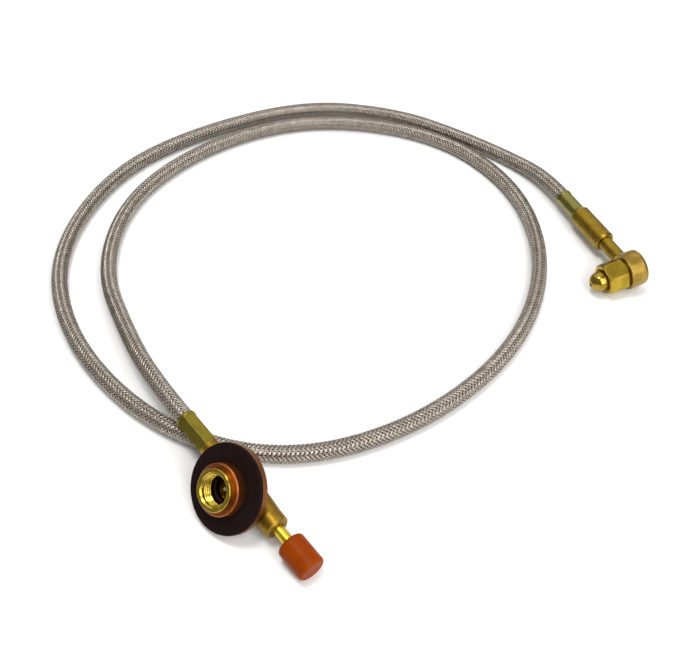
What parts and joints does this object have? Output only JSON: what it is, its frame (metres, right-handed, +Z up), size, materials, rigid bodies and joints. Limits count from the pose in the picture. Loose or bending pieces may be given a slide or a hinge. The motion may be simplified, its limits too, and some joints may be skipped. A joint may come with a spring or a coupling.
{
  "type": "braided gas canister hose with needle valve",
  "caption": "Braided gas hose with a screw-on canister needle valve at one end and a swivelling right-angled union head at the other.",
  "frame": {"origin": "on the table under the centre of the canister valve, measured without the hose and the outlet head", "axes": "+Z up from the table; +Y along the longer side of the valve as it lies; +X to the outlet head"},
  "size_m": [0.2639, 0.2789, 0.0262],
  "materials": {
    "brass": "turned, satin",
    "cast_brass": "cast and tumbled, matt",
    "anodised_flange": "copper-coloured, satin",
    "pad_rubber": "matt",
    "seal_rubber": "satin",
    "steel": "turned, bright",
    "steel_braid": "woven wire",
    "hose_rubber": "smooth",
    "knob_finish": "satin orange",
    "sintered_bronze": "grainy",
    "slip_plastic": "smooth"
  },
  "bodies": {
    "valve": {"valve_body": "brass", "support_flange": "anodised_flange", "rubber_pad": "pad_rubber", "canister_socket": "brass", "socket_o_ring": "seal_rubber", "valve_pin": "steel", "gas_filter": "sintered_bronze", "gland_nut": "brass", "stem_packing": "seal_rubber", "valve_hose_nipple": "brass", "valve_ferrule": "brass", "hose_braid": "steel_braid", "hose_liner": "hose_rubber", "outlet_hose_nipple": "brass", "outlet_ferrule": "brass", "swivel_body": "brass", "swivel_end_ring": "brass"},
    "stem_seal": {"stem_o_ring": "seal_rubber"},
    "knob_and_stem": {"valve_stem": "steel", "control_knob": "knob_finish"},
    "outlet_head": {"outlet_tube": "brass", "swivel_o_ring": "seal_rubber", "head_body": "cast_brass", "head_washer": "brass", "outlet_nose": "cast_brass"},
    "nut_washer": {"slip_washer": "slip_plastic"},
    "nut": {"union_nut": "cast_brass"}
  },
  "joints": [
    {"name": "stem_travel", "type": "slide", "parent": "valve", "child": "stem_seal", "axis": [0.6397, -0.7651, -0.0732], "range_m": [0, 0.00125]},
    {"name": "knob_turn", "type": "hinge", "parent": "stem_seal", "child": "knob_and_stem", "pos_m": [-0.00155, 0.0014, 0.00806], "axis": [0.6397, -0.7651, -0.0732], "range_deg": [0, 900.1]},
    {"name": "head_swivel", "type": "hinge", "parent": "valve", "child": "outlet_head", "pos_m": [0.1588, 0.1114, 0.00872], "axis": [0.3515, -0.9352, 0.0419], "continuous": true},
    {"name": "nut_slide", "type": "slide", "parent": "outlet_head", "child": "nut_washer", "axis": [-0.9249, -0.3539, -0.1391], "range_m": [0, 0.0042]},
    {"name": "nut_spin", "type": "hinge", "parent": "nut_washer", "child": "nut", "pos_m": [0.1588, 0.1114, 0.00872], "axis": [-0.9249, -0.3539, -0.1391], "continuous": true}
  ],
  "couplings": [
    {"joint": "knob_turn", "follows": "stem_travel", "rad_per_m": 12566}
  ]
}
